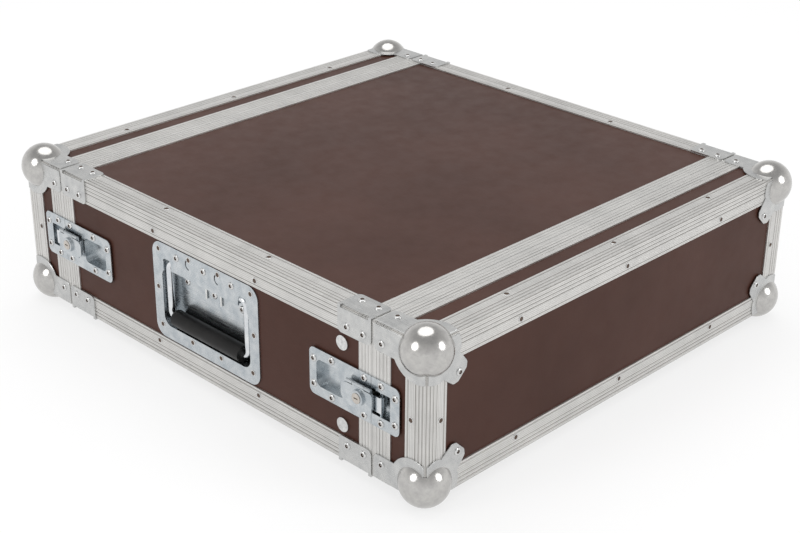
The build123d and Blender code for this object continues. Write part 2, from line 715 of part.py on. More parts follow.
# Closing frame of the front lid, grooved for the body's tongue
groove_inner = tongue_inset - tongue_play
groove_outer = tongue_inset + tongue_width + tongue_play
with BuildPart() as front_lid_frame:
    frame_layer(lid_depth - lid_frame_leg, lid_end, 0, skin)
    frame_layer(lid_ply_end, lid_end, 0, frame_depth)
    frame_layer(lid_end - frame_inner_leg, lid_end, wall, frame_depth)
    frame_layer(lid_end - tongue_length - tongue_play, lid_end, groove_inner, groove_outer, Mode.SUBTRACT)
    for place in lid_groove_places:
        groove_start = lid_depth - place
        frame_layer(groove_start - frame_groove_width, groove_start, 0, frame_groove_depth, Mode.SUBTRACT)
    cut_mitres(lid_depth - lid_frame_leg, lid_end)
    cut_latch_opening(-lid_frame_leg - butt_gap, 0)
front_lid_frame.part.label = "front_lid_frame"
export_step(front_lid_frame.part, "parts/front_lid_frame.step")

# Edge angles round the face of the front lid
with BuildPart() as front_lid_edge_angles:
    angle_length(
        left_face,
        case_width,
    )
    mirror(about=bottom_to_top)
    upright_start = angle_leg + butt_gap
    angle_length(
        Plane(origin=(-half_width, -half_depth, base_height + upright_start), x_dir=(1, 0, 0), z_dir=(0, 0, 1)),
        case_height - 2 * upright_start,
    )
    angle_length(
        Plane(origin=(half_width, -half_depth, top_height - upright_start), x_dir=(-1, 0, 0), z_dir=(0, 0, -1)),
        case_height - 2 * upright_start,
    )
front_lid_edge_angles.part.label = "front_lid_edge_angles"
export_step(front_lid_edge_angles.part, "parts/front_lid_edge_angles.step")

# Short edge angles of the front lid, between its face and its closing frame
with BuildPart() as front_lid_short_angles:
    angle_length(
        Plane(origin=(-half_width, angle_leg + butt_gap - half_depth, top_height), x_dir=(1, 0, 0),
              z_dir=(0, 1, 0)),
        lid_depth - lid_frame_leg - angle_leg - 2 * butt_gap,
    )
    mirror(about=left_to_right)
    mirror(about=bottom_to_top)
front_lid_short_angles.part.label = "front_lid_short_angles"
export_step(front_lid_short_angles.part, "parts/front_lid_short_angles.step")

# Ball corners of the front lid: a pressed cap over the point and three flanges, slit along the ridges
with BuildPart() as front_lid_ball_corners:
    with Locations((ball_inset - half_width, ball_inset - half_depth, base_height + ball_inset)):
        Sphere(ball_radius)
    flange_faces = (left_face.offset(-plate_thickness), bottom_face.offset(-plate_thickness), front_face)
    for flange_face in flange_faces:
        with BuildSketch(flange_face) as flange:
            if flange_face is front_face:
                with Locations((lobe_centre - lobe_spread, lobe_centre + lobe_spread),
                               (lobe_centre + lobe_spread, lobe_centre - lobe_spread)):
                    Circle(lobe_round)
                with Locations((lobe_root, lobe_root)):
                    Circle(lobe_root_radius)
                make_hull()
            else:
                along_side = flange_face is flange_faces[0]
                reach_u = corner_leg_reach if along_side else corner_leg_width
                reach_v = corner_leg_width if along_side else corner_leg_reach
                Rectangle(reach_u, reach_v, align=(Align.MIN, Align.MIN))
                fillet(flange.vertices().sort_by_distance((0, 0))[-1], corner_leg_round)
            with Locations((ball_inset, ball_inset)):
                Circle(ball_collar)
            with Locations((ridge_slit / 2, ridge_slit / 2)):
                Rectangle(case_width, case_width, align=(Align.MIN, Align.MIN), mode=Mode.INTERSECT)
        extrude(flange.sketch, amount=plate_thickness)
    with Locations((0, 0, middle_height)):
        Box(case_width, case_depth, case_height, mode=Mode.SUBTRACT)
    mirror(about=left_to_right)
    mirror(about=bottom_to_top)
front_lid_ball_corners.part.label = "front_lid_ball_corners"
export_step(front_lid_ball_corners.part, "parts/front_lid_ball_corners.step")

# Rivets of the front lid: on the ball corners, along the edge angles and on the keepers
edge_places = [half_width + step * lid_rivet_pitch for step in (-1, 0, 1)]
flange_rise = plate_thickness + rivet_height
with BuildPart() as front_lid_rivets:
    heads(front_face.offset(plate_thickness), [(corner_rivet_diagonal, corner_rivet_diagonal)], rivet_radius,
          rivet_height)
    heads(left_face.offset(-flange_rise), [(corner_rivet_reach, edge_rivet_inset)], rivet_radius, rivet_height)
    heads(bottom_face.offset(-flange_rise), [(edge_rivet_inset, corner_rivet_reach)], rivet_radius,
          rivet_height)
    mirror(about=left_to_right)
    heads(front_face, [(place, edge_rivet_inset) for place in edge_places], screw_radius, screw_height)
    heads(bottom_face.offset(-screw_height), [(place, edge_rivet_inset) for place in edge_places],
          screw_radius, screw_height)
    mirror(about=bottom_to_top)
    heads(front_face, [(edge_rivet_inset, case_height / 2), (case_width - edge_rivet_inset, case_height / 2)],
          screw_radius, screw_height)
    keeper_places = [(-place, height) for place, height in keeper_rivet_rows]
    for face in (latch_face.offset(-flange_rise), latch_face.offset(case_width + plate_thickness)):
        heads(face, both_ways(keeper_places), rivet_radius, rivet_height)
    for face in (left_face.offset(-screw_height), left_face.offset(case_width)):
        heads(face, [(edge_rivet_inset, case_height / 2)], screw_radius, screw_height)
front_lid_rivets.part.label = "front_lid_rivets"
export_step(front_lid_rivets.part, "parts/front_lid_rivets.step")

# The rear lid, the same as the front one
for lid_piece in (
    front_lid_panel,
    front_lid_walls,
    front_lid_frame,
    front_lid_edge_angles,
    front_lid_short_angles,
    front_lid_ball_corners,
    front_lid_rivets,
):
    copy_of(lid_piece, front_to_rear, lid_piece.part.label.replace("front", "rear"))

# Rivets of the body: on the brackets, along the edges, on the latch dishes and on the handles
bracket_places = [(lid_depth + place, edge_rivet_inset) for place in bracket_rivet_places]
side_places = [(half_depth - body_rivet_pitch / 2, edge_rivet_inset)]
with BuildPart() as body_rivets:
    heads(left_face.offset(-flange_rise), bracket_places, rivet_radius, rivet_height)
    heads(bottom_face.offset(-flange_rise), [(v, u) for u, v in bracket_places], rivet_radius, rivet_height)
    heads(left_face.offset(-screw_height), side_places, screw_radius, screw_height)
    heads(bottom_face.offset(-screw_height), [(v, u) for u, v in side_places], screw_radius, screw_height)
    mirror(about=bottom_to_top)
    heads(latch_face.offset(-flange_rise), both_ways(latch_rivet_rows), rivet_radius, rivet_height)
    mirror(about=front_to_rear)
    flange_front = handle_face.offset(skin - handle_flange - screw_height)
    heads(flange_front, either_side(handle_screws), screw_radius, screw_height)
    dome_columns = [step * handle_dome_pitch for step in (-1, 0, 1)]
    heads(handle_face.offset(skin - handle_flange - rivet_height),
          [(column, handle_band_domes) for column in dome_columns], rivet_radius, rivet_height)
    heads(handle_face.offset(handle_pocket_depth - foot_thickness - rivet_height),
          [(column, handle_foot_domes) for column in dome_columns], rivet_radius, rivet_height)
    mirror(about=left_to_right)
body_rivets.part.label = "body_rivets"
export_step(body_rivets.part, "parts/body_rivets.step")
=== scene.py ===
"""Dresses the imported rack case: finishes on its own pieces, smooth ball corners and turned rivet heads."""
import logging
import math
from dataclasses import dataclass, field
from enum import Enum
from typing import Iterable, Sequence, Union

import bmesh
import bpy
from mathutils import Matrix, Vector


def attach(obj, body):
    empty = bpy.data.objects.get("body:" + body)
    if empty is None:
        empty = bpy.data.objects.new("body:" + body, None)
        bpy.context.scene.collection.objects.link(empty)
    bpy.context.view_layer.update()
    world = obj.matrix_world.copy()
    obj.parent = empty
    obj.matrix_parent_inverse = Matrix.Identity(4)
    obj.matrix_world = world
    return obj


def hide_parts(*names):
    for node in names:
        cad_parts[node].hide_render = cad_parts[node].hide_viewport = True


MM = 0.001
NOISE_SPAN = (0.3, 0.7)
CORNER_SHARE = 0.49
LOG = logging.getLogger("rack_case")
Colour = tuple[float, float, float]
Value = Union[bpy.types.NodeSocket, float]

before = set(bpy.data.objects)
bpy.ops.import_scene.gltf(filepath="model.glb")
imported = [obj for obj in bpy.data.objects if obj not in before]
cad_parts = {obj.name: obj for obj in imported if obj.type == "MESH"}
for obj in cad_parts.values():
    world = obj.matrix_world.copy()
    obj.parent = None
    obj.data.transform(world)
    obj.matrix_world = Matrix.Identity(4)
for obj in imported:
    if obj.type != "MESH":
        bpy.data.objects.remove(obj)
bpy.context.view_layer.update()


class Axis(Enum):
    """A direction of the case: across the rack, along its depth, or up."""

    ACROSS = 0
    DEPTH = 1
    UP = 2


@dataclass(frozen=True)
class CaseSize:
    """Sizes of the case over its aluminium, in metres."""

    width: float = 530 * MM
    depth: float = 580 * MM
    height: float = 154 * MM
    base: float = 10.5 * MM
    angle_leg: float = 24.5 * MM

    @property
    def middle(self) -> float:
        """Height of the case's middle above the floor."""
        return self.base + self.height / 2


CASE = CaseSize()


class Graph:
    """A small helper that lays out the nodes of one material."""

    first_colour: int = 6
    second_colour: int = 7
    mixed_colour: int = 2

    def __init__(self, name: str) -> None:
        """Start a material with a bare principled shader.

        Args:
            name: name of the material.
        """
        self.material = bpy.data.materials.new(name)
        self.material.use_nodes = True
        self.tree = self.material.node_tree
        self.shader = self.tree.nodes["Principled BSDF"]
        self.coords = self.tree.nodes.new("ShaderNodeTexCoord").outputs["Object"]

    def link(self, source: Union[Value, Sequence[float]], target: bpy.types.NodeSocket) -> None:
        """Join an output to an input, or write a plain value to the input.

        Args:
            source: an output socket or a plain value.
            target: the input socket.
        """
        if isinstance(source, bpy.types.NodeSocket):
            self.tree.links.new(source, target)
        else:
            target.default_value = source

    def math(self, operation: str, first: Value, second: Value = 0.0) -> bpy.types.NodeSocket:
        """Add a math node.

        Args:
            operation: name of the operation.
            first: first operand.
            second: second operand.

        Returns:
            The output socket.
        """
        node = self.tree.nodes.new("ShaderNodeMath")
        node.operation = operation
        for value, socket in zip((first, second), node.inputs):
            self.link(value, socket)
        return node.outputs[0]

    def noise(self, scale: float, stretch: Sequence[float] = (1, 1, 1), detail: float = 4.0,
              roughness: float = 0.55) -> bpy.types.NodeSocket:
        """Add a noise texture on the object's coordinates.

        Args:
            scale: scale of the noise, in waves per metre.
            stretch: how much each axis is multiplied first.
            detail: octaves of the noise.
            roughness: strength of the finer octaves.

        Returns:
            The noise factor.
        """
        mapping = self.tree.nodes.new("ShaderNodeMapping")
        mapping.inputs["Scale"].default_value = tuple(stretch)
        self.link(self.coords, mapping.inputs["Vector"])
        node = self.tree.nodes.new("ShaderNodeTexNoise")
        node.inputs["Scale"].default_value = scale
        node.inputs["Detail"].default_value = detail
        node.inputs["Roughness"].default_value = roughness
        self.link(mapping.outputs[0], node.inputs["Vector"])
        return node.outputs["Fac"]

    def streaks(self, across: bpy.types.NodeSocket, scale: float) -> bpy.types.NodeSocket:
        """Add streaks that change only with the distance across a length.

        Args:
            across: the distance across, in metres.
            scale: scale of the streaks, in waves per metre.

        Returns:
            The noise factor.
        """
        node = self.tree.nodes.new("ShaderNodeTexNoise")
        node.noise_dimensions = "1D"
        node.inputs["Scale"].default_value = scale
        node.inputs["Detail"].default_value = 3.0
        self.link(across, node.inputs["W"])
        return node.outputs["Fac"]

    def spread(self, value: Value, low: float, high: float, out_low: float,
               out_high: float) -> bpy.types.NodeSocket:
        """Map a value from one range onto another.

        Args:
            value: the value to map.
            low: bottom of its range.
            high: top of its range.
            out_low: what the bottom becomes.
            out_high: what the top becomes.

        Returns:
            The mapped value.
        """
        node = self.tree.nodes.new("ShaderNodeMapRange")
        for socket, number in zip(node.inputs[1:5], (low, high, out_low, out_high)):
            socket.default_value = number
        self.link(value, node.inputs[0])
        return node.outputs[0]

    def mix(self, factor: Value, first: Union[bpy.types.NodeSocket, Colour],
            second: Union[bpy.types.NodeSocket, Colour], blend: str = "MIX") -> bpy.types.NodeSocket:
        """Mix two colours.

        Args:
            factor: share of the second colour.
            first: first colour, linear red, green and blue.
            second: second colour.
            blend: how they are blended.

        Returns:
            The mixed colour.
        """
        node = self.tree.nodes.new("ShaderNodeMix")
        node.data_type = "RGBA"
        node.blend_type = blend
        for value, place in ((first, self.first_colour), (second, self.second_colour)):
            given = value if isinstance(value, bpy.types.NodeSocket) else (*value, 1.0)
            self.link(given, node.inputs[place])
        self.link(factor, node.inputs["Factor"])
        return node.outputs[self.mixed_colour]

    def bump(self, height: Value, depth: float) -> None:
        """Bump the surface.

        Args:
            height: the height, from 0 to 1.
            depth: depth of the relief, in metres.
        """
        node = self.tree.nodes.new("ShaderNodeBump")
        node.inputs["Distance"].default_value = depth
        node.inputs["Strength"].default_value = 1.0
        self.link(height, node.inputs["Height"])
        previous = self.shader.inputs["Normal"]
        if previous.is_linked:
            self.link(previous.links[0].from_socket, node.inputs["Normal"])
        self.link(node.outputs[0], previous)

    def place(self) -> tuple[bpy.types.NodeSocket, ...]:
        """Split the object's coordinates.

        Returns:
            The x, y and z outputs.
        """
        node = self.tree.nodes.new("ShaderNodeSeparateXYZ")
        self.link(self.coords, node.inputs[0])
        return tuple(node.outputs)

    def facing(self) -> tuple[bpy.types.NodeSocket, ...]:
        """Split the true surface normal, without its sign.

        Returns:
            The size of the normal along x, y and z.
        """
        geometry = self.tree.nodes.new("ShaderNodeNewGeometry")
        node = self.tree.nodes.new("ShaderNodeSeparateXYZ")
        self.link(geometry.outputs["True Normal"], node.inputs[0])
        return tuple(self.math("ABSOLUTE", output) for output in node.outputs)


@dataclass(frozen=True)
class FilmPlywood:
    """Phenolic film on plywood: deep brown, satin, with a faint pressed grain and cloudy tone."""

    name: str = "film_plywood"
    dark: Colour = (0.053, 0.0215, 0.0150)
    light: Colour = (0.073, 0.0315, 0.0230)
    roughness: float = 0.36
    gloss: float = 0.12
    cloud_scale: float = 7.0
    cloud_share: float = 0.7
    grain_scale: float = 900.0
    grain_stretch: tuple[float, float, float] = (1.0, 0.12, 1.0)
    grain_depth: float = 0.03 * MM
    smudge_scale: float = 60.0
    ripple_scale: float = 35.0
    ripple_depth: float = 0.06 * MM

    def build(self) -> bpy.types.Material:
        """Make the material.

        Returns:
            The finished material.
        """
        graph = Graph(self.name)
        cloud = graph.noise(self.cloud_scale, detail=5.0)
        grain = graph.noise(self.grain_scale, stretch=self.grain_stretch, detail=3.0)
        tone = graph.math("ADD", graph.math("MULTIPLY", cloud, self.cloud_share),
                          graph.math("MULTIPLY", grain, 1 - self.cloud_share))
        graph.link(graph.mix(graph.spread(tone, 0.35, 0.65, 0.0, 1.0), self.dark, self.light),
                   graph.shader.inputs["Base Color"])
        smudge = graph.noise(self.smudge_scale, detail=6.0)
        rough = graph.spread(smudge, *NOISE_SPAN, self.roughness - 0.05, self.roughness + 0.07)
        graph.link(rough, graph.shader.inputs["Roughness"])
        graph.shader.inputs["Specular IOR Level"].default_value = self.gloss
        graph.bump(grain, self.grain_depth)
        graph.bump(graph.noise(self.ripple_scale, detail=2.0), self.ripple_depth)
        return graph.material


class Run(Enum):
    """How the lengths of an aluminium section run on the case."""

    ALONG_DEPTH = "along_depth"
    ROUND_OPENING = "round_opening"
    ROUND_FACE = "round_face"


@dataclass(frozen=True)
class GroovedAluminium:
    """Satin extruded aluminium with fine lengthwise lines across each leg, with painted shade in the grooves
    and on the rounded ridge.
    """

    run: Run
    light: Colour = (0.74, 0.73, 0.71)
    dark: Colour = (0.58, 0.575, 0.56)
    line_pitch: float = 1.9 * MM
    line_depth: float = 0.09 * MM
    # Colour of the painted shade in the grooves and on the ridge, and how strongly it is laid on.
    painted_groove_shade: Colour = (0.34, 0.32, 0.30)
    painted_shade_strength: float = 0.75
    streak_scale: float = 2600.0
    streak_share: float = 0.45
    streak_depth: float = 0.02 * MM
    scuff_scale: float = 28.0
    metallic: float = 0.85
    roughness: float = 0.34
    squareness: float = 0.9

    def across(self, graph: Graph) -> bpy.types.NodeSocket:
        """Measure how far a point is across its length.

        Args:
            graph: the material being laid out.

        Returns:
            The distance across, in metres.
        """
        x, y, z = graph.place()
        facing_x, facing_y, facing_z = graph.facing()
        if self.run is Run.ROUND_OPENING:
            return y
        if self.run is Run.ALONG_DEPTH:
            upward = graph.math("GREATER_THAN", facing_z, 0.5)
            return graph.math("ADD", graph.math("MULTIPLY", x, upward),
                              graph.math("MULTIPLY", z, graph.math("SUBTRACT", 1.0, upward)))
        on_face = graph.math("GREATER_THAN", facing_y, 0.5)
        from_middle = graph.math("ABSOLUTE", graph.math("SUBTRACT", z, CASE.middle))
        level = graph.math("GREATER_THAN", from_middle, CASE.height / 2 - CASE.angle_leg - 0.1 * MM)
        face_way = graph.math("ADD", graph.math("MULTIPLY", z, level),
                              graph.math("MULTIPLY", x, graph.math("SUBTRACT", 1.0, level)))
        return graph.math("ADD", graph.math("MULTIPLY", face_way, on_face),
                          graph.math("MULTIPLY", y, graph.math("SUBTRACT", 1.0, on_face)))

    def slanted(self, graph: Graph) -> bpy.types.NodeSocket:
        """Find the flanks of the grooves and the rounded ridge, where shade is painted.

        Args:
            graph: the material being laid out.

        Returns:
            1 where the surface faces along no axis of the case, else 0.
        """
        facing_x, facing_y, facing_z = graph.facing()
        squarest = graph.math("MAXIMUM", graph.math("MAXIMUM", facing_x, facing_y), facing_z)
        return graph.math("LESS_THAN", squarest, self.squareness)

    def build(self) -> bpy.types.Material:
        """Make the material.

        Returns:
            The finished material.
        """
        graph = Graph(f"aluminium_{self.run.value}")
        across = self.across(graph)
        wave = graph.math("SINE", graph.math("MULTIPLY", across, 2 * math.pi / self.line_pitch))
        # Mask of the groove lines and the slanted ridge faces: bumped, and darkened with painted shade
        # below.
        line = graph.math("MAXIMUM", graph.spread(wave, 0.80, 0.97, 0.0, 1.0), self.slanted(graph))
        streak = graph.streaks(across, self.streak_scale)
        scuff = graph.noise(self.scuff_scale, detail=7.0, roughness=0.7)
        tone = graph.math("ADD", graph.math("MULTIPLY", streak, self.streak_share),
                          graph.math("MULTIPLY", scuff, 1 - self.streak_share))
        metal = graph.mix(graph.spread(tone, 0.32, 0.62, 0.0, 1.0), self.dark, self.light)
        # Painted shade: the base colour is darkened in the grooves and on the ridge.
        shade = graph.mix(graph.math("MULTIPLY", line, self.painted_shade_strength), (1.0, 1.0, 1.0), self.painted_groove_shade)
        graph.link(graph.mix(1.0, metal, shade, "MULTIPLY"), graph.shader.inputs["Base Color"])
        graph.shader.inputs["Metallic"].default_value = self.metallic
        rough = graph.spread(tone, *NOISE_SPAN, self.roughness - 0.06, self.roughness + 0.10)
        graph.link(rough, graph.shader.inputs["Roughness"])
        graph.bump(graph.math("SUBTRACT", 1.0, line), self.line_depth)
        graph.bump(streak, self.streak_depth)
        return graph.material


@dataclass(frozen=True)
class PlatedSteel:
    """Plated sheet or wire: metallic, faintly mottled, with fine scratches."""

    name: str
    colour: Colour
    cast: Colour
    roughness: float
    scratch: float = 0.03 * MM
    grain: float = 260.0
    wear: float = 0.12

    def build(self) -> bpy.types.Material:
        """Make the material.

        Returns:
            The finished material.
        """
        graph = Graph(self.name)
        mottle = graph.noise(self.grain / 3, detail=6.0, roughness=0.65)
        scratches = graph.noise(self.grain, stretch=(1.0, 0.08, 1.4), detail=5.0)
        graph.link(graph.mix(graph.spread(mottle, 0.35, 0.65, 0.0, 1.0), self.colour, self.cast),
                   graph.shader.inputs["Base Color"])
        graph.shader.inputs["Metallic"].default_value = 1.0
        rough = graph.spread(scratches, *NOISE_SPAN, self.roughness - self.wear / 3,
                             self.roughness + self.wear)
        graph.link(rough, graph.shader.inputs["Roughness"])
        graph.bump(scratches, self.scratch)
        return graph.material


@dataclass(frozen=True)
class BlackPlastic:
    """Matt black moulded grip with a fine leather-like grain."""

    name: str = "black_grip"
    colour: Colour = (0.006, 0.0055, 0.0055)
    rubbed: Colour = (0.014, 0.013, 0.0125)
    roughness: float = 0.42
    gloss: float = 0.25
    grain_scale: float = 1400.0
    grain_depth: float = 0.05 * MM
    rub_scale: float = 45.0

    def build(self) -> bpy.types.Material:
        """Make the material.

        Returns:
            The finished material.
        """
        graph = Graph(self.name)
        grain = graph.noise(self.grain_scale, detail=3.0)
        rub = graph.noise(self.rub_scale, detail=5.0)
        graph.link(graph.mix(graph.spread(rub, 0.45, 0.75, 0.0, 1.0), self.colour, self.rubbed),
                   graph.shader.inputs["Base Color"])
        graph.link(graph.spread(rub, *NOISE_SPAN, self.roughness - 0.08, self.roughness + 0.1),
                   graph.shader.inputs["Roughness"])
        graph.shader.inputs["Specular IOR Level"].default_value = self.gloss
        graph.bump(grain, self.grain_depth)
        return graph.material


@dataclass(frozen=True)
class PowderCoat:
    """Black powder coat with an orange-peel surface, on the rack rails."""

    name: str = "rail_powder_coat"
    colour: Colour = (0.020, 0.020, 0.021)
    lift: float = 2.2
    roughness: float = 0.5
    peel_scale: float = 700.0
    peel_depth: float = 0.06 * MM

    def build(self) -> bpy.types.Material:
        """Make the material.

        Returns:
            The finished material.
        """
        graph = Graph(self.name)
        peel = graph.noise(self.peel_scale, detail=2.0)
        graph.link(graph.mix(peel, self.colour, tuple(self.lift * channel for channel in self.colour)),
                   graph.shader.inputs["Base Color"])
        graph.link(graph.spread(peel, *NOISE_SPAN, self.roughness - 0.08, self.roughness + 0.08),
                   graph.shader.inputs["Roughness"])
        graph.bump(peel, self.peel_depth)
        return graph.material


@dataclass(frozen=True)
class DarkHole:
    """Painted shade in the socket of a screw or rivet head: near black metal, with a mottled tone."""

    name: str = "socket_shadow"
    # Colours of the painted shade in the socket, mottled between them.
    colour: Colour = (0.05, 0.035, 0.028)
    edge: Colour = (0.16, 0.11, 0.08)
    metallic: float = 0.6
    shade_grime_scale: float = 900.0
    shade_grime_depth: float = 0.04 * MM

    def build(self) -> bpy.types.Material:
        """Make the material.

        Returns:
            The finished material.
        """
        graph = Graph(self.name)
        shade_grime = graph.noise(self.shade_grime_scale, detail=4.0)
        # Painted shade: near black in the socket, mottled by the noise.
        graph.link(graph.mix(shade_grime, self.colour, self.edge), graph.shader.inputs["Base Color"])
        graph.shader.inputs["Metallic"].default_value = self.metallic
        graph.link(graph.spread(shade_grime, *NOISE_SPAN, 0.35, 0.6), graph.shader.inputs["Roughness"])
        graph.bump(shade_grime, self.shade_grime_depth)
        return graph.material


FINE_SCRATCH = 0.01 * MM
SHARP_EDGE = math.radians(38)
FILM = FilmPlywood().build()
ALUMINIUM = {run: GroovedAluminium(run).build() for run in Run}
ZINC = PlatedSteel("zinc_sheet", (0.60, 0.625, 0.64), (0.44, 0.48, 0.51), 0.22).build()
BRIGHT = PlatedSteel("bright_wire", (0.78, 0.79, 0.80), (0.60, 0.63, 0.66), 0.10, FINE_SCRATCH).build()
BALL_STEEL = PlatedSteel("ball_steel", (0.56, 0.55, 0.53), (0.47, 0.46, 0.45), 0.15, FINE_SCRATCH, 500.0,
                         0.06).build()
CORNER_STEEL = PlatedSteel("corner_steel", (0.62, 0.62, 0.61), (0.50, 0.505, 0.505), 0.25).build()
RIVET_STEEL = PlatedSteel("rivet_steel", (0.74, 0.74, 0.73), (0.55, 0.55, 0.55), 0.16, 0.02 * MM,
                          900.0).build()
LOCK_NICKEL = PlatedSteel("lock_nickel", (0.62, 0.58, 0.53), (0.50, 0.46, 0.42), 0.20, 0.03 * MM,
                          600.0).build()
SPRING_STEEL = PlatedSteel("spring_wire", (0.86, 0.86, 0.85), (0.74, 0.74, 0.73), 0.20, FINE_SCRATCH).build()
GRIP = BlackPlastic().build()
RAIL_COAT = PowderCoat().build()
SOCKET_SHADE = DarkHole().build()


def dress(node: str, material: bpy.types.Material) -> None:
    """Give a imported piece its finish.

    Args:
        node: name of the piece.
        material: the finish.
    """
    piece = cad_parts[node]
    piece.data.materials.clear()
    piece.data.materials.append(material)
    LOG.info("dressed %s in %s", node, material.name)


def add_piece(name: str, shape: bmesh.types.BMesh,
              materials: Iterable[bpy.types.Material]) -> bpy.types.Object:
    """Turn a bmesh into an object of the scene, shaded smooth up to sharp edges.

    Args:
        name: name of the piece.
        shape: its mesh, which is freed.
        materials: its material slots.

    Returns:
        The new object.
    """
    mesh = bpy.data.meshes.new(name)
    shape.to_mesh(mesh)
    shape.free()
    for material in materials:
        mesh.materials.append(material)
    for polygon in mesh.polygons:
        polygon.use_smooth = True
    mesh.set_sharp_from_angle(angle=SHARP_EDGE)
    piece = bpy.data.objects.new(name, mesh)
    bpy.context.scene.collection.objects.link(piece)
    return piece


def lathe(shape: bmesh.types.BMesh, profile: Sequence[tuple[float, float]], turns: int, place: Matrix,
          slots: Sequence[int]) -> None:
    """Turn a profile about the z axis of a placing matrix.

    Args:
        shape: the mesh that grows.
        profile: radius and height of each point, from the rim to the centre.
        turns: sides of the turned surface.
        place: where it stands.
        slots: material slot of each band between two points.
    """
    rings = []
    for radius, height in profile:
        ring = []
        for step in range(turns):
            angle = 2 * math.pi * step / turns
            point = Vector((radius * math.cos(angle), radius * math.sin(angle), height))
            ring.append(shape.verts.new(place @ point))
        rings.append(ring)
    for band, (outer, inner) in enumerate(zip(rings, rings[1:])):
        for step in range(turns):
            after = (step + 1) % turns
            face = shape.faces.new((outer[step], outer[after], inner[after], inner[step]))
            face.material_index = slots[band]
    cap = shape.faces.new(rings[-1])
    cap.material_index = slots[-1]


@dataclass
class Fasteners:
    """Turned heads in place of the plain discs of one packed group of rivets and screws, with painted shade
    in their hollows.
    """

    node: str
    body: str
    slot_name: str = "fastener"
    turns: int = 20
    rivet_least: float = 1.0 * MM
    rivet_profile: tuple[tuple[float, float], ...] = (
        (3.80, 0.0), (3.78, 0.30), (3.50, 0.80), (2.90, 1.18), (2.25, 1.30), (1.85, 1.24), (1.60, 0.60),
        (1.40, 0.25), (0.90, 0.20), (0.45, 0.55),
    )
    # Slot 1 takes the socket_shadow material: painted shade in the hollow of the rivet head.
    rivet_slots: tuple[int, ...] = (0, 0, 0, 0, 0, 1, 1, 1, 1, 0)
    screw_profile: tuple[tuple[float, float], ...] = (
        (3.20, 0.0), (3.15, 0.30), (2.80, 0.45), (2.25, 0.42), (1.95, 0.12), (0.60, 0.05),
    )
    # Slot 1 takes the socket_shadow material: painted shade in the socket of the screw head.
    screw_slots: tuple[int, ...] = (0, 0, 0, 1, 1, 1)
    weld: float = 0.01 * MM

    def islands(self) -> list[tuple[Vector, Vector]]:
        """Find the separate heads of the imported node.

        Returns:
            The lowest and highest corner of each head.
        """
        shape = bmesh.new()
        shape.from_mesh(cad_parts[self.node].data)
        bmesh.ops.remove_doubles(shape, verts=shape.verts, dist=self.weld)
        seen: set[int] = set()
        found = []
        shape.verts.ensure_lookup_table()
        for start in shape.verts:
            if start.index in seen:
                continue
            group, queue = [], [start]
            seen.add(start.index)
            while queue:
                vert = queue.pop()
                group.append(vert.co.copy())
                for edge in vert.link_edges:
                    other = edge.other_vert(vert)
                    if other.index not in seen:
                        seen.add(other.index)
                        queue.append(other)
            low = Vector(min(point[axis.value] for point in group) for axis in Axis)
            high = Vector(max(point[axis.value] for point in group) for axis in Axis)
            found.append((low, high))
        shape.free()
        return found

    def seat(self, low: Vector, high: Vector) -> tuple[Matrix, float]:
        """Work out where a head is seated and which way it points.

        Args:
            low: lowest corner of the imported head.
            high: highest corner.

        Returns:
            The placing matrix, with z out of the case, and the head's height.
        """
        span = high - low
        thin = min((axis.value for axis in Axis), key=lambda axis: span[axis])
        centre = (low + high) / 2
        reference = Vector((0, 0, CASE.middle))
        outward = Vector((0, 0, 0))
        outward[thin] = 1.0 if centre[thin] > reference[thin] else -1.0
        seat = centre - outward * span[thin] / 2
        turn = outward.to_track_quat("Z", "X").to_matrix().to_4x4()
        return Matrix.Translation(seat) @ turn, span[thin]

    def build(self) -> bpy.types.Object:
        """Make every head of the group as one piece.

        Returns:
            The piece.
        """
        shape = bmesh.new()
        for low, high in self.islands():
            place, height = self.seat(low, high)
            is_rivet = height > self.rivet_least
            profile = self.rivet_profile if is_rivet else self.screw_profile
            slots = self.rivet_slots if is_rivet else self.screw_slots
            lathe(shape, [(radius * MM, rise * MM) for radius, rise in profile], self.turns, place, slots)
        bmesh.ops.recalc_face_normals(shape, faces=shape.faces)
        piece = add_piece(f"{self.node}_turned", shape, (RIVET_STEEL, SOCKET_SHADE))
        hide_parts(self.node)
        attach(piece, self.body)
        LOG.info("turned the heads of %s", self.node)
        return piece


def rounded_outline(points: Sequence[tuple[float, float, float]],
                    steps: int = 6) -> list[tuple[float, float]]:
    """Round the corners of a closed outline.

    Args:
        points: u, v and corner radius of each corner, in order.
        steps: pieces of each rounded corner.

    Returns:
        The points of the rounded outline.
    """
    outline = []
    count = len(points)
    for index, (u, v, radius) in enumerate(points):
        here = Vector((u, v))
        back = Vector(points[index - 1][:2]) - here
        ahead = Vector(points[(index + 1) % count][:2]) - here
        if radius <= 0:
            outline.append((u, v))
            continue
        half = back.angle(ahead) / 2
        reach = min(radius / math.tan(half), CORNER_SHARE * back.length, CORNER_SHARE * ahead.length)
        start, end = here + back.normalized() * reach, here + ahead.normalized() * reach
        for step in range(steps + 1):
            share = step / steps
            bezier = start * (1 - share) ** 2 + here * 2 * share * (1 - share) + end * share**2
            outline.append((bezier.x, bezier.y))
    return outline


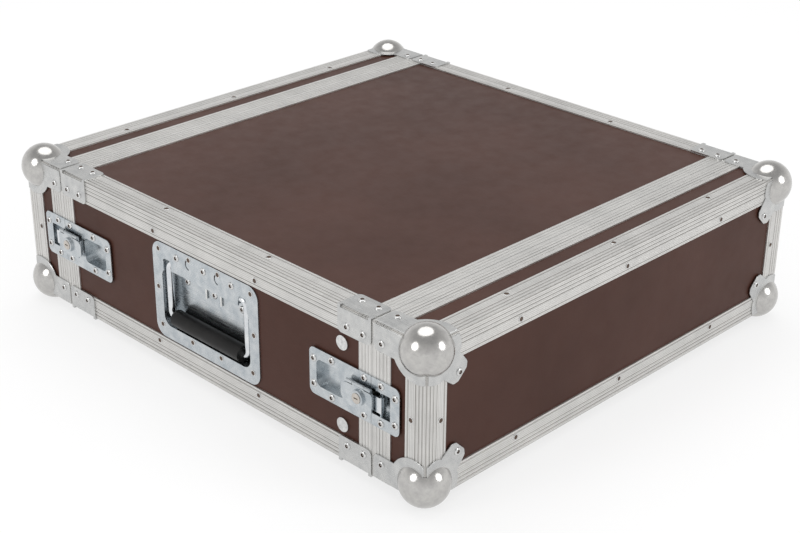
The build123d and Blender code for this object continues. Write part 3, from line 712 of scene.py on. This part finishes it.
def slab(shape: bmesh.types.BMesh, outline: Sequence[tuple[float, float]], place: Matrix, thickness: float,
         bevel: float) -> None:
    """Raise a plate with a bevelled rim from an outline.

    Args:
        shape: the mesh that grows.
        outline: u and v of its points, in metres.
        place: its plane, with z out of the case.
        thickness: its thickness.
        bevel: width of the bevel on its outer rim.
    """
    inward = 1.0 if twice_area(outline) > 0 else -1.0
    levels = [(0.0, 0.0), (thickness - bevel, 0.0), (thickness, bevel)]
    rings = []
    count = len(outline)
    for height, inset in levels:
        ring = []
        for index, (u, v) in enumerate(outline):
            here = Vector((u, v))
            back = Vector(outline[index - 1]) - here
            ahead = Vector(outline[(index + 1) % count]) - here
            along = (ahead.normalized() - back.normalized()).normalized()
            moved = here + Vector((-along.y, along.x)) * inward * inset
            ring.append(shape.verts.new(place @ Vector((moved.x, moved.y, height))))
        rings.append(ring)
    for lower, upper in zip(rings, rings[1:]):
        for index in range(count):
            after = (index + 1) % count
            shape.faces.new((lower[index], lower[after], upper[after], upper[index]))
    shape.faces.new(rings[-1])
    shape.faces.new(list(reversed(rings[0])))


def twice_area(outline: Sequence[tuple[float, float]]) -> float:
    """Work out twice the area of an outline, with its sign.

    Args:
        outline: u and v of its points.

    Returns:
        Twice the area, positive where the outline runs counterclockwise.
    """
    return sum(u0 * v1 - u1 * v0 for (u0, v0), (u1, v1) in zip(outline, [*outline[1:], outline[0]]))


def mirrored_copies(shape: bmesh.types.BMesh, planes: Sequence[tuple[Axis, float]]) -> None:
    """Mirror all that a mesh holds about each plane in turn, keeping the original.

    Args:
        shape: the mesh that grows.
        planes: the axis of each mirror and its place along that axis.
    """
    for axis, place in planes:
        copied = bmesh.ops.duplicate(shape, geom=[*shape.verts, *shape.edges, *shape.faces])["geom"]
        for vert in (item for item in copied if isinstance(item, bmesh.types.BMVert)):
            vert.co[axis.value] = 2 * place - vert.co[axis.value]
        faces = [item for item in copied if isinstance(item, bmesh.types.BMFace)]
        bmesh.ops.reverse_faces(shape, faces=faces)


@dataclass
class BallCorners:
    """The four pressed ball corners of one lid: caps and bevelled flanges."""

    lid: str
    ball_radius: float = 23.5 * MM
    inset: float = 13.0 * MM
    collar: float = 27.0 * MM
    sheet: float = 1.2 * MM
    bevel: float = 0.35 * MM
    slit: float = 3.0 * MM
    leg_length: float = 61.5 * MM
    leg_width: float = 26.0 * MM
    leg_round: float = 6.0 * MM
    lobe: tuple[tuple[float, float, float], ...] = (
        (31.0, 47.8, 4.0), (37.0, 47.0, 3.0), (47.0, 37.0, 3.0), (47.8, 31.0, 4.0),
    )
    lobe_blend: float = 5 * MM
    lobe_turn: float = math.radians(14)
    cap_sides: int = 72
    cap_overlap: float = 0.6 * MM
    arc_steps: int = 14
    short_arc_steps: int = 4

    def face_places(self) -> dict[str, Matrix]:
        """Place the three faces at the front left bottom corner, with z out of the case.

        Returns:
            A matrix for the side, the bottom and the face of the lid.
        """
        corner = Vector((-CASE.width / 2, -CASE.depth / 2, CASE.base))
        columns = {
            "side": (Vector((0, 1, 0)), Vector((0, 0, 1)), Vector((-1, 0, 0))),
            "bottom": (Vector((1, 0, 0)), Vector((0, 1, 0)), Vector((0, 0, -1))),
            "face": (Vector((1, 0, 0)), Vector((0, 0, 1)), Vector((0, -1, 0))),
        }
        places = {}
        for name, (along_u, along_v, outward) in columns.items():
            turn = Matrix((along_u, along_v, outward)).transposed().to_4x4()
            places[name] = Matrix.Translation(corner) @ turn
        return places

    def collar_arc(self, start: tuple[float, float], end: tuple[float, float],
                   steps: int) -> list[tuple[float, float]]:
        """Follow the round collar between two points near it.

        Args:
            start: where the arc starts.
            end: where it ends.
            steps: pieces of the arc.

        Returns:
            The points of the arc, without its ends.
        """
        centre = Vector((self.inset, self.inset))
        first, last = Vector(start) - centre, Vector(end) - centre
        from_angle, to_angle = math.atan2(first.y, first.x), math.atan2(last.y, last.x)
        angles = [from_angle + (to_angle - from_angle) * step / steps for step in range(1, steps)]
        return [(centre.x + self.collar * math.cos(a), centre.y + self.collar * math.sin(a)) for a in angles]

    def leg_outline(self) -> list[tuple[float, float]]:
        """Outline of the flange with the long leg along u.

        Returns:
            Its points.
        """
        edge = self.slit / 2
        reach = edge - self.inset
        top = (edge, self.inset + math.sqrt(self.collar**2 - reach**2))
        meet_v = self.leg_width
        meet_u = self.inset + math.sqrt(self.collar**2 - (meet_v - self.inset) ** 2)
        leg = rounded_outline(
            [(edge, edge, 0), (self.leg_length, edge, 0), (self.leg_length, self.leg_width, self.leg_round),
             (meet_u, meet_v, 0), (*top, 0)]
        )
        return leg[:-1] + self.collar_arc((meet_u, meet_v), top, self.arc_steps) + [top]

    def lobe_outline(self) -> list[tuple[float, float]]:
        """Outline of the flange on the lid's face, with its diagonal lobe.

        Returns:
            Its points.
        """
        edge = self.slit / 2
        reach = math.sqrt(self.collar**2 - (edge - self.inset) ** 2)
        right, top = (self.inset + reach, edge), (edge, self.inset + reach)
        near_right = (self.inset + self.collar * math.cos(self.lobe_turn),
                      self.inset + self.collar * math.sin(self.lobe_turn))
        near_top = (near_right[1], near_right[0])
        lobe = [(u * MM, v * MM, r * MM) for u, v, r in reversed(self.lobe)]
        middle = rounded_outline(
            [(*near_right, self.lobe_blend), *lobe, (*near_top, self.lobe_blend), (edge, edge, 0)]
        )[:-1]
        return ([(edge, edge), right] + self.collar_arc(right, near_right, self.short_arc_steps) + middle
                + self.collar_arc(near_top, top, self.short_arc_steps) + [top])

    def cap(self, shape: bmesh.types.BMesh) -> None:
        """Make the ball, open where the case fills it.

        Args:
            shape: the mesh that grows.
        """
        centre = Vector((self.inset - CASE.width / 2, self.inset - CASE.depth / 2, CASE.base + self.inset))
        before = set(shape.verts)
        bmesh.ops.create_uvsphere(shape, u_segments=self.cap_sides, v_segments=self.cap_sides // 2,
                                  radius=self.ball_radius, matrix=Matrix.Translation(centre))
        gone = [
            vert for vert in shape.verts
            if vert not in before
            and vert.co.x > self.cap_overlap - CASE.width / 2
            and vert.co.y > self.cap_overlap - CASE.depth / 2
            and vert.co.z > CASE.base + self.cap_overlap
        ]
        bmesh.ops.delete(shape, geom=gone, context="VERTS")

    def build(self) -> bpy.types.Object:
        """Make the four corners as one piece.

        Returns:
            The piece.
        """
        shape = bmesh.new()
        self.cap(shape)
        places = self.face_places()
        balls = set(shape.faces)
        outlines = {
            "side": self.leg_outline(),
            "bottom": [(v, u) for u, v in self.leg_outline()],
            "face": self.lobe_outline(),
        }
        for name, place in places.items():
            slab(shape, outlines[name], place, self.sheet, self.bevel)
        for face in shape.faces:
            face.material_index = 0 if face in balls else 1
        bmesh.ops.recalc_face_normals(shape, faces=shape.faces)
        planes = [(Axis.ACROSS, 0.0), (Axis.UP, CASE.middle)]
        mirrored_copies(shape, planes)
        if self.lid == "rear_lid":
            for vert in shape.verts:
                vert.co.y = -vert.co.y
            bmesh.ops.reverse_faces(shape, faces=shape.faces)
        piece = add_piece(f"{self.lid}_ball_caps", shape, (BALL_STEEL, CORNER_STEEL))
        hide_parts(f"{self.lid}_ball_corners")
        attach(piece, self.lid)
        LOG.info("built the ball corners of %s", self.lid)
        return piece


@dataclass
class Casing:
    """Plywood, aluminium and rack rails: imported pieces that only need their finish."""

    films: tuple[str, ...] = ("top_panel", "bottom_panel", "left_panel", "right_panel", "front_lid_panel",
                              "rear_lid_panel", "front_lid_walls", "rear_lid_walls")
    depth_lengths: tuple[str, ...] = ("body_edge_angles", "front_lid_short_angles", "rear_lid_short_angles")
    opening_lengths: tuple[str, ...] = ("front_body_frame", "rear_body_frame", "front_lid_frame",
                                        "rear_lid_frame")
    face_lengths: tuple[str, ...] = ("front_lid_edge_angles", "rear_lid_edge_angles")

    def build(self) -> None:
        """Give every piece of the casing its finish."""
        groups = (
            (self.films, FILM),
            (self.depth_lengths, ALUMINIUM[Run.ALONG_DEPTH]),
            (self.opening_lengths, ALUMINIUM[Run.ROUND_OPENING]),
            (self.face_lengths, ALUMINIUM[Run.ROUND_FACE]),
            (("left_rack_rail", "right_rack_rail"), RAIL_COAT),
            (("corner_brackets",), CORNER_STEEL),
            (("rail_bolts", "rail_nuts"), RIVET_STEEL),
        )
        for nodes, material in groups:
            for node in nodes:
                dress(node, material)


@dataclass
class Handle:
    """One sunken sprung handle."""

    side: str

    def build(self) -> None:
        """Dress the dish, bail, grip and spring."""
        dress(f"{self.side}_handle_dish", ZINC)
        dress(f"{self.side}_handle_bail", BRIGHT)
        dress(f"{self.side}_handle_grip", GRIP)
        dress(f"{self.side}_handle_spring", SPRING_STEEL)


@dataclass
class Latch:
    """One butterfly latch: dish, keeper, hook, turner, flap and key plug."""

    place: str
    finishes: dict[str, bpy.types.Material] = field(default_factory=lambda: {
        "dish": ZINC, "keeper": ZINC, "hook": BRIGHT, "turner": ZINC, "flap": ZINC, "plug": LOCK_NICKEL,
    })

    def build(self) -> None:
        """Dress its six pieces."""
        for part, material in self.finishes.items():
            dress(f"{self.place}_latch_{part}", material)


@dataclass(frozen=True)
class PhotoCamera:
    """The camera of the photograph, fitted to the edges of the case."""

    azimuth: float = -45.332
    elevation: float = 25.958
    roll: float = 0.498
    position: tuple[float, float, float] = (-1.07184, -1.05563, 0.77747)
    focal_pixels: float = 1573.75
    image_width: float = 800.0
    sensor_width: float = 36.0

    def build(self) -> bpy.types.Object:
        """Create the camera and make it the scene's own.

        Returns:
            The camera.
        """
        az, el, turn = (math.radians(value) for value in (self.azimuth, self.elevation, self.roll))
        back = Vector((math.sin(az) * math.cos(el), -math.cos(az) * math.cos(el), math.sin(el)))
        level = Vector((math.cos(az), math.sin(az), 0))
        upright = back.cross(level)
        right = level * math.cos(turn) + upright * math.sin(turn)
        up = upright * math.cos(turn) - level * math.sin(turn)
        data = bpy.data.cameras.new("photo_camera")
        data.sensor_width = self.sensor_width
        data.sensor_fit = "HORIZONTAL"
        data.lens = self.focal_pixels / self.image_width * self.sensor_width
        camera = bpy.data.objects.new("photo_camera", data)
        turned = Matrix((right, up, back)).transposed().to_4x4()
        camera.matrix_world = Matrix.Translation(self.position) @ turned
        bpy.context.scene.collection.objects.link(camera)
        bpy.context.scene.camera = camera
        return camera


@dataclass
class Studio:
    """A pale floor, a white surround and soft lamps."""

    floor_size: float = 14.0
    floor_drop: float = 0.05 * MM
    floor_colour: Colour = (0.93, 0.93, 0.93)
    floor_glow: float = 0.7
    floor_in_gloss: float = 0.95
    fill: float = 0.75
    gloss_rise: tuple[float, float, float, float] = (0.0, 0.8, 1.0, 0.5)
    lamps: tuple[tuple[str, tuple[float, float, float], float, float], ...] = (
        ("top_softbox", (0.3, 0.5, 2.6), 2.4, 24.0),
        ("left_softbox", (-2.3, 0.3, 1.3), 1.2, 12.0),
        ("right_softbox", (0.9, -2.4, 1.2), 1.2, 14.0),
    )

    def background_share(self, tree: bpy.types.NodeTree) -> bpy.types.NodeSocket:
        """Tell which rays should see the plain background.

        Args:
            tree: the node tree to add to.

        Returns:
            1 for camera, glossy and transmission rays, else 0.
        """
        path = tree.nodes.new("ShaderNodeLightPath")
        share = path.outputs["Is Camera Ray"]
        for name in ("Is Glossy Ray", "Is Transmission Ray"):
            node = tree.nodes.new("ShaderNodeMath")
            node.operation = "MAXIMUM"
            tree.links.new(share, node.inputs[0])
            tree.links.new(path.outputs[name], node.inputs[1])
            share = node.outputs[0]
        return share

    def floor(self) -> bpy.types.Object:
        """Lay the floor, which keeps the shadow of the case.

        Returns:
            The floor.
        """
        material = bpy.data.materials.new("studio_floor")
        material.use_nodes = True
        tree = material.node_tree
        tree.nodes.remove(tree.nodes["Principled BSDF"])
        matt = tree.nodes.new("ShaderNodeBsdfDiffuse")
        matt.inputs["Color"].default_value = (*self.floor_colour, 1.0)
        glow = tree.nodes.new("ShaderNodeEmission")
        path = tree.nodes.new("ShaderNodeLightPath")
        dimmed = tree.nodes.new("ShaderNodeMapRange")
        dimmed.inputs["To Min"].default_value = 1.0
        dimmed.inputs["To Max"].default_value = self.floor_in_gloss
        tree.links.new(path.outputs["Is Glossy Ray"], dimmed.inputs[0])
        tree.links.new(dimmed.outputs[0], glow.inputs["Strength"])
        mix = tree.nodes.new("ShaderNodeMixShader")
        amount = tree.nodes.new("ShaderNodeMath")
        amount.operation = "MULTIPLY"
        amount.inputs[1].default_value = self.floor_glow
        tree.links.new(self.background_share(tree), amount.inputs[0])
        tree.links.new(amount.outputs[0], mix.inputs[0])
        tree.links.new(matt.outputs[0], mix.inputs[1])
        tree.links.new(glow.outputs[0], mix.inputs[2])
        tree.links.new(mix.outputs[0], tree.nodes["Material Output"].inputs["Surface"])
        shape = bmesh.new()
        bmesh.ops.create_grid(shape, x_segments=1, y_segments=1, size=self.floor_size / 2)
        floor = add_piece("studio_floor", shape, (material,))
        floor.location.z = -self.floor_drop
        return floor

    def world(self) -> None:
        """Surround the case with white; what gloss sees dims with height, so metal keeps its form."""
        world = bpy.data.worlds.new("studio_world")
        bpy.context.scene.world = world
        world.use_nodes = True
        tree = world.node_tree
        backing = tree.nodes["Background"]
        backing.inputs["Color"].default_value = (1.0, 1.0, 1.0, 1.0)
        plain = tree.nodes.new("ShaderNodeMapRange")
        plain.inputs["To Min"].default_value = self.fill
        plain.inputs["To Max"].default_value = 1.0
        tree.links.new(self.background_share(tree), plain.inputs["Value"])
        split = tree.nodes.new("ShaderNodeSeparateXYZ")
        tree.links.new(tree.nodes.new("ShaderNodeTexCoord").outputs["Generated"], split.inputs[0])
        rise = tree.nodes.new("ShaderNodeMapRange")
        for socket, value in zip(rise.inputs[1:5], self.gloss_rise):
            socket.default_value = value
        tree.links.new(split.outputs["Z"], rise.inputs[0])
        path = tree.nodes.new("ShaderNodeLightPath")
        choice = tree.nodes.new("ShaderNodeMix")
        tree.links.new(path.outputs["Is Glossy Ray"], choice.inputs[0])
        tree.links.new(plain.outputs[0], choice.inputs[2])
        tree.links.new(rise.outputs[0], choice.inputs[3])
        tree.links.new(choice.outputs[0], backing.inputs["Strength"])

    def build(self) -> None:
        """Lay the floor, the surround and the lamps."""
        self.floor()
        self.world()
        for name, place, size, power in self.lamps:
            data = bpy.data.lights.new(name, "AREA")
            data.shape = "DISK"
            data.size = size
            data.energy = power
            lamp = bpy.data.objects.new(name, data)
            lamp.location = place
            aim = Vector((0, 0, CASE.middle)) - Vector(place)
            lamp.rotation_euler = aim.to_track_quat("-Z", "Y").to_euler()
            bpy.context.scene.collection.objects.link(lamp)
        bpy.context.scene.view_settings.view_transform = "Standard"


def main() -> None:
    """Build every sub-assembly in order and report it."""
    logging.basicConfig(level=logging.INFO, format="%(message)s")
    PhotoCamera().build()
    Studio().build()
    Casing().build()
    for side in ("left", "right"):
        Handle(side).build()
    for place in ("front_left", "front_right", "rear_left", "rear_right"):
        Latch(place).build()
    for lid in ("front_lid", "rear_lid"):
        BallCorners(lid).build()
        Fasteners(f"{lid}_rivets", lid).build()
    Fasteners("body_rivets", "case").build()


if __name__ == "__main__":
    main()
